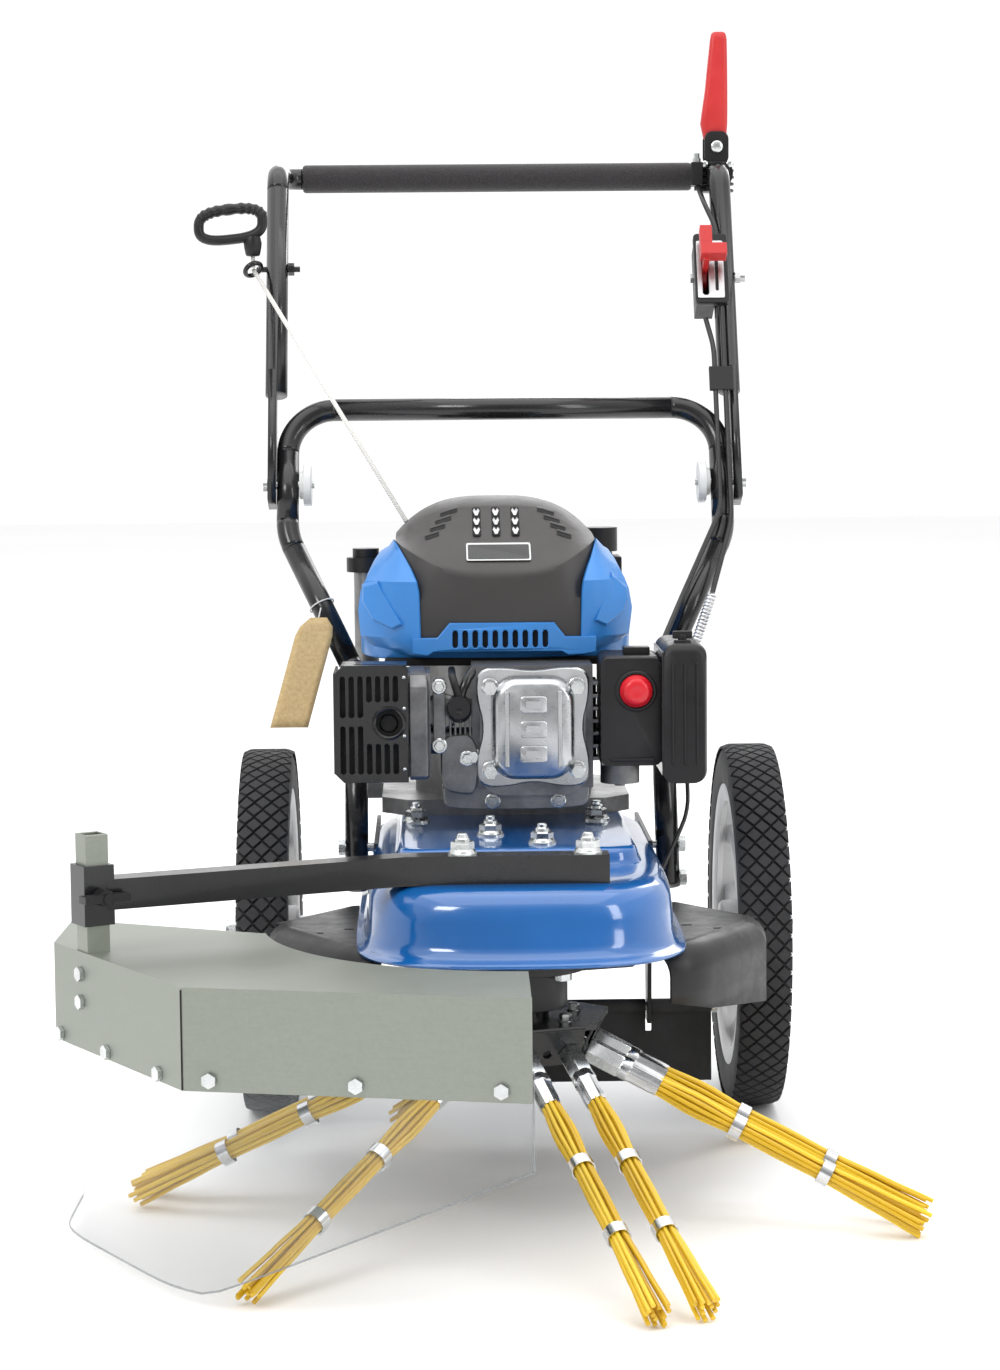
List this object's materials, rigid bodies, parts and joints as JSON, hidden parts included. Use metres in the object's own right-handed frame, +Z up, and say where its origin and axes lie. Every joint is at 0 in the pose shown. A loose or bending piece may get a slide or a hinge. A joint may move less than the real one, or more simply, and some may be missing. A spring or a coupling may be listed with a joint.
{
  "type": "walk-behind weed brush",
  "caption": "Walk-behind petrol weed brush: rotating wire-tuft rotor under a blue pressed deck, side guard with clear skirt, large rear wheels and a folding push handle.",
  "frame": {"origin": "middle of the footprint's bounding box on the floor", "axes": "+Z is up; -Y is the way the machine works forward and +Y is the operator's side; +X is the side with the throttle and the dead-man lever"},
  "size_m": [0.7326, 1.0374, 1.07],
  "materials": {
    "deck_blue": "gloss paint",
    "zinc": "zinc plated",
    "black_paint": "gloss black paint",
    "satin_black": "satin black paint",
    "flap_rubber": "matt rubber",
    "bare_steel": "turned steel",
    "tyre_rubber": "tread rubber",
    "rim_plastic": "moulded wheel",
    "foam": "foam sleeve",
    "grey_plastic": "moulded",
    "black_plastic": "moulded",
    "red_plastic": "moulded",
    "rope_white": "braided cord",
    "cable_black": "cable sheath",
    "engine_alloy": "die cast",
    "engine_blue": "moulded",
    "muffler_steel": "pressed steel",
    "bulb_red": "soft bulb",
    "belt_rubber": "fabric faced belt",
    "cast": "black cast hub",
    "wire_yellow": "coated wire",
    "galvanised": "galvanised sheet",
    "clear_sheet": "clear plastic sheet",
    "kraft": "plain card"
  },
  "bodies": {
    "chassis": {"deck": "deck_blue", "fasteners": "zinc", "debris_plate": "satin_black", "axle_brackets": "satin_black", "axle": "bare_steel", "lower_handle": "black_paint", "starter_rope": "rope_white", "cables_lower": "cable_black", "clutch_spring": "bare_steel", "crankcase": "engine_alloy", "cylinder_fins": "engine_alloy", "valve_cover": "engine_alloy", "spark_plug": "black_plastic", "blue_shroud": "engine_blue", "top_cover": "black_plastic", "fuel_tank": "black_plastic", "muffler": "muffler_steel", "muffler_guard": "satin_black", "filter_base": "black_plastic", "filter_cover": "black_plastic", "carburettor": "engine_alloy", "drive_belt": "belt_rubber", "spindle_housing": "satin_black", "guard_arm": "satin_black", "hang_tag": "kraft"},
    "handle": {"upper_handle": "black_paint", "foam_grip": "foam", "lever_bracket": "black_plastic", "throttle_box": "black_plastic", "throttle_plate": "bare_steel", "rope_guide": "zinc", "rope_tail": "rope_white", "cables_upper": "cable_black"},
    "lever": {"clutch_lever": "red_plastic"},
    "throttle": {"throttle_lever": "red_plastic"},
    "pull_grip": {"starter_grip": "black_plastic"},
    "wheel_l": {"tyre_left": "tyre_rubber", "rim_left": "rim_plastic"},
    "wheel_r": {"tyre_right": "tyre_rubber", "rim_right": "rim_plastic"},
    "knob_l": {"knob_left": "grey_plastic"},
    "knob_r": {"knob_right": "grey_plastic"},
    "brush": {"spindle_shaft": "bare_steel", "spindle_pulley": "bare_steel", "brush_head": "satin_black", "tuft_steel": "zinc", "tufts": "wire_yellow"},
    "crank": {"crankshaft": "bare_steel", "flywheel": "cast"},
    "guard": {"guard_post": "galvanised", "guard_sheet": "galvanised", "guard_bolts": "zinc", "clear_skirt": "clear_sheet"},
    "wing": {"wing_bolt": "black_plastic"},
    "flap": {"rear_flap": "flap_rubber"},
    "bulb": {"primer_bulb": "bulb_red"},
    "oil": {"oil_cap": "black_plastic"},
    "fuel": {"fuel_cap": "black_plastic"},
    "idler": {"idler_arm": "bare_steel"},
    "idler_wheel": {"idler_pulley": "black_plastic"}
  },
  "joints": [
    {"name": "wheel_left_spin", "type": "hinge", "parent": "chassis", "child": "wheel_l", "pos_m": [-0.2132, 0.2392, 0.1775], "axis": [1, 0, 0], "continuous": true},
    {"name": "wheel_right_spin", "type": "hinge", "parent": "chassis", "child": "wheel_r", "pos_m": [0.2568, 0.2392, 0.1775], "axis": [1, 0, 0], "continuous": true},
    {"name": "brush_spin", "type": "hinge", "parent": "chassis", "child": "brush", "pos_m": [0.0218, -0.1828, 0.2], "axis": [0, 0, 1], "continuous": true},
    {"name": "crank_spin", "type": "hinge", "parent": "chassis", "child": "crank", "pos_m": [0.0168, 0.2192, 0.25], "axis": [0, 0, 1], "continuous": true},
    {"name": "handle_fold", "type": "hinge", "parent": "chassis", "child": "handle", "pos_m": [0.0218, 0.2862, 0.612], "axis": [1, 0, 0], "range_deg": [0, 115], "deforming": ["starter_rope", "cables_upper", "cables_lower"]},
    {"name": "clutch_lever_pull", "type": "hinge", "parent": "handle", "child": "lever", "pos_m": [0.2478, 0.4672, 0.952], "axis": [0, 1, 0], "range_deg": [-80, 0], "stiffness_Nm_per_rad": 0.6, "deforming": ["clutch_spring"]},
    {"name": "throttle_turn", "type": "hinge", "parent": "handle", "child": "throttle", "pos_m": [0.2268, 0.38086, 0.815], "axis": [1, 0, 0], "range_deg": [0, 35]},
    {"name": "starter_pull", "type": "slide", "parent": "handle", "child": "pull_grip", "axis": [0, 0, 1], "range_m": [0, 0.5], "stiffness_N_per_m": 20, "springref_m": -0.2, "deforming": ["rope_tail"]},
    {"name": "knob_left_turn", "type": "hinge", "parent": "chassis", "child": "knob_l", "pos_m": [-0.1742, 0.2862, 0.612], "axis": [1, 0, 0], "range_deg": [0, 360]},
    {"name": "knob_right_turn", "type": "hinge", "parent": "chassis", "child": "knob_r", "pos_m": [0.2178, 0.2862, 0.612], "axis": [1, 0, 0], "range_deg": [0, 360]},
    {"name": "guard_height", "type": "slide", "parent": "chassis", "child": "guard", "axis": [0, 0, 1], "range_m": [-0.01, 0.02]},
    {"name": "wing_bolt_turn", "type": "hinge", "parent": "chassis", "child": "wing", "pos_m": [-0.32916, -0.28641, 0.3], "axis": [0.5126, -0.8586, 0], "range_deg": [0, 360]},
    {"name": "flap_swing", "type": "hinge", "parent": "chassis", "child": "flap", "pos_m": [0.0218, 0.1192, 0.12], "axis": [1, 0, 0], "range_deg": [0, 60]},
    {"name": "primer_press", "type": "slide", "parent": "chassis", "child": "bulb", "axis": [0, 1, 0], "range_m": [0, 0.005], "stiffness_N_per_m": 400},
    {"name": "oil_cap_turn", "type": "hinge", "parent": "chassis", "child": "oil", "pos_m": [-0.1162, 0.2772, 0.535], "axis": [0, 0, 1], "range_deg": [0, 90]},
    {"name": "fuel_cap_turn", "type": "hinge", "parent": "chassis", "child": "fuel", "pos_m": [0.1188, 0.3562, 0.55], "axis": [0, 0, 1], "range_deg": [0, 90]},
    {"name": "idler_swing", "type": "hinge", "parent": "chassis", "child": "idler", "pos_m": [0.0438, -0.0538, 0.264], "axis": [0, 0, 1], "range_deg": [0, 5.5]},
    {"name": "idler_wheel_spin", "type": "hinge", "parent": "idler", "child": "idler_wheel", "pos_m": [0.0858, 0.0342, 0.249], "axis": [0, 0, 1], "continuous": true}
  ],
  "couplings": [
    {"joint": "crank_spin", "follows": "brush_spin", "ratio": 2},
    {"joint": "idler_swing", "follows": "clutch_lever_pull", "ratio": -0.06875}
  ]
}
